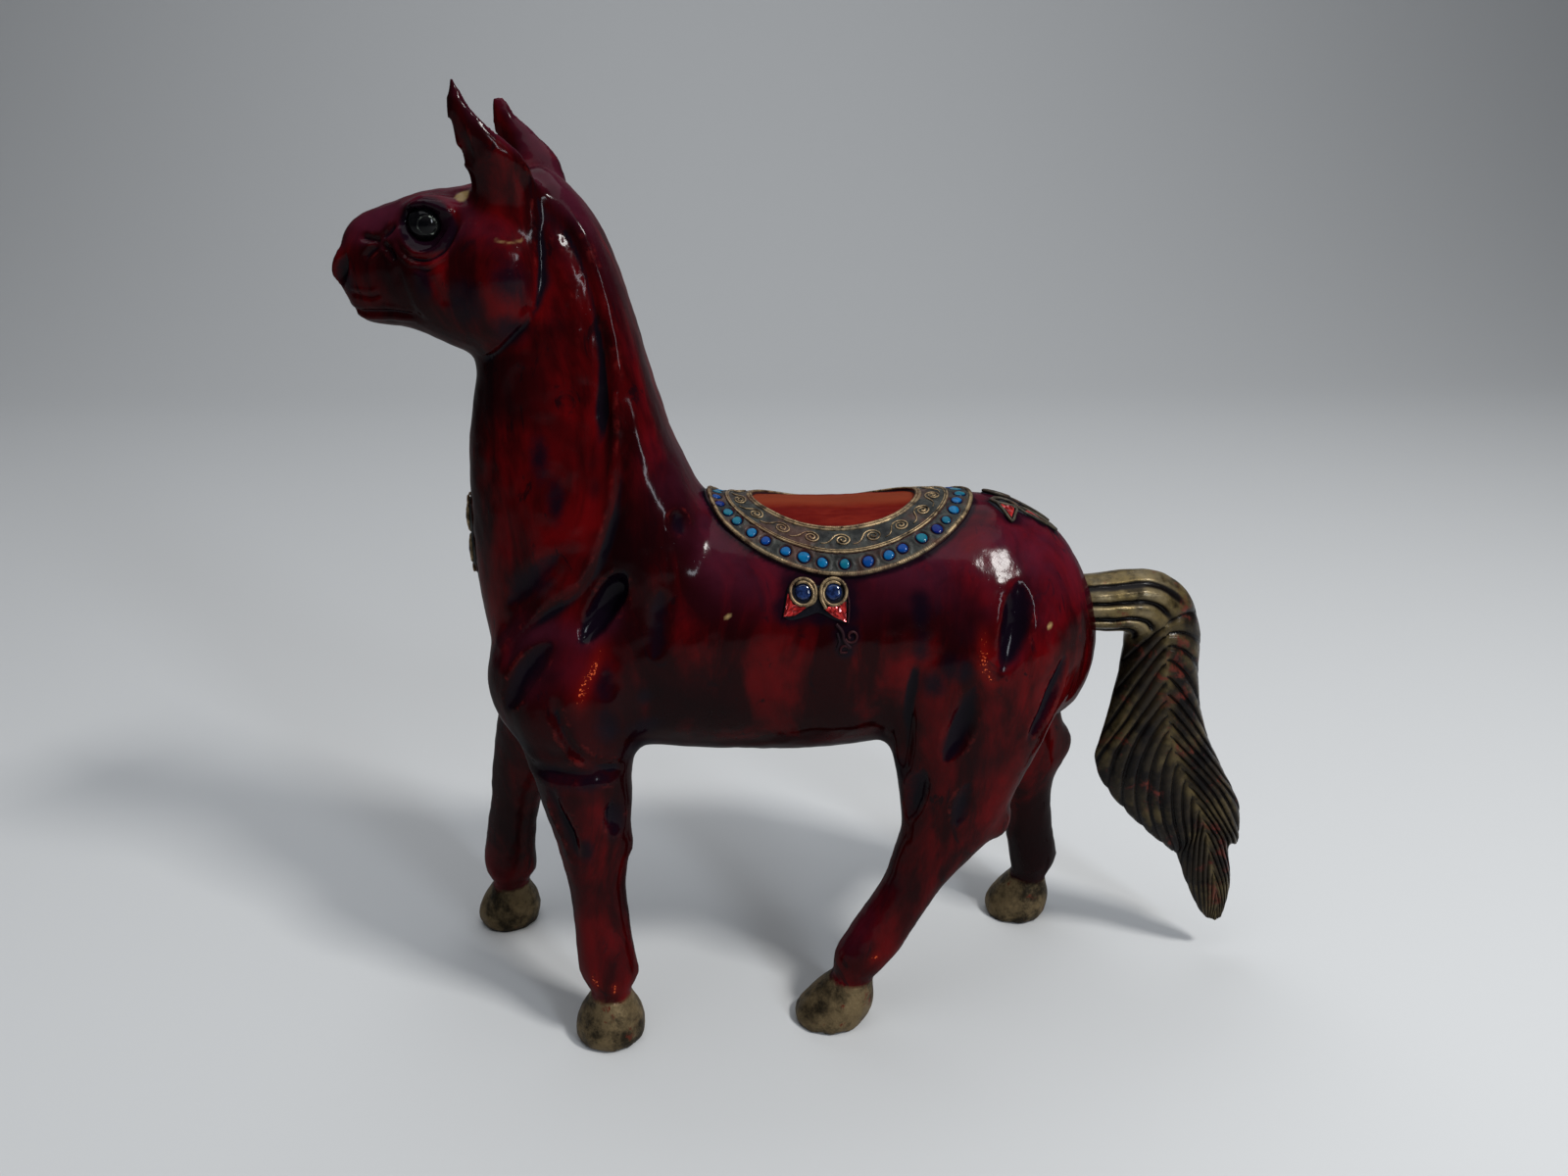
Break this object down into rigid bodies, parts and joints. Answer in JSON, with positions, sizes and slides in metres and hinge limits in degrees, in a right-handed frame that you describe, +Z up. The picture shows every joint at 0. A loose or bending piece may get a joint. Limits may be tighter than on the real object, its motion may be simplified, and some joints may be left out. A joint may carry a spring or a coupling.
{
  "type": "wooden horse figurine",
  "caption": "Standing carved horse figurine in glossy lacquered wood, with a gilt tail and hooves and a moulded saddle cloth set with small glass discs.",
  "frame": {"origin": "on the floor, under the middle of the figure's bounding box", "axes": "+Z up; the horse faces -X and its left side faces -Y"},
  "size_m": [0.395, 0.1208, 0.4],
  "materials": {
    "red_lacquer": "high-gloss dark red lacquer over carved wood, gilt hooves",
    "gilt_wood": "worn gilding over dark lacquer",
    "moulded_lacquer": "moulded lacquer paste, bronzed and worn, satin",
    "gilt_wire": "gilt wire and paste settings, worn",
    "turquoise_glass": "opaque blue glass, glossy",
    "blue_glass": "dark blue glass, glossy",
    "red_glass": "red mirrored glass, glossy",
    "eye_glass": "black glass bead with a pale ring"
  },
  "bodies": {
    "root": {"horse": "red_lacquer", "tail": "gilt_wood", "left_eye": "eye_glass", "right_eye": "eye_glass", "saddle_cloth": "moulded_lacquer", "glass_01": "turquoise_glass", "glass_02": "turquoise_glass", "glass_03": "turquoise_glass", "glass_04": "turquoise_glass", "glass_05": "turquoise_glass", "glass_06": "turquoise_glass", "glass_07": "turquoise_glass", "glass_08": "turquoise_glass", "glass_09": "turquoise_glass", "glass_10": "turquoise_glass", "glass_11": "turquoise_glass", "glass_12": "turquoise_glass", "glass_13": "turquoise_glass", "glass_14": "turquoise_glass", "glass_15": "turquoise_glass", "glass_16": "turquoise_glass", "glass_17": "turquoise_glass", "glass_18": "turquoise_glass", "glass_19": "turquoise_glass", "glass_20": "turquoise_glass", "glass_21": "turquoise_glass", "glass_22": "turquoise_glass", "glass_23": "turquoise_glass", "glass_24": "turquoise_glass", "glass_25": "turquoise_glass", "glass_26": "turquoise_glass", "glass_27": "turquoise_glass", "glass_28": "turquoise_glass", "glass_29": "turquoise_glass", "glass_30": "turquoise_glass", "glass_31": "turquoise_glass", "glass_32": "turquoise_glass", "glass_33": "turquoise_glass", "glass_34": "turquoise_glass", "glass_35": "turquoise_glass", "glass_36": "turquoise_glass", "glass_37": "turquoise_glass", "glass_38": "turquoise_glass", "left_bow_setting": "gilt_wire", "left_bow_glass_1": "blue_glass", "left_bow_glass_2": "blue_glass", "left_bow_glass_3": "red_glass", "left_bow_glass_4": "red_glass", "right_bow_setting": "gilt_wire", "right_bow_glass_1": "blue_glass", "right_bow_glass_2": "blue_glass", "right_bow_glass_3": "red_glass", "right_bow_glass_4": "red_glass", "left_croup_setting": "gilt_wire", "left_croup_glass_1": "red_glass", "right_croup_setting": "gilt_wire", "right_croup_glass_1": "red_glass", "chest_setting": "gilt_wire", "chest_glass_1": "blue_glass", "chest_glass_2": "blue_glass"}
  },
  "joints": []
}
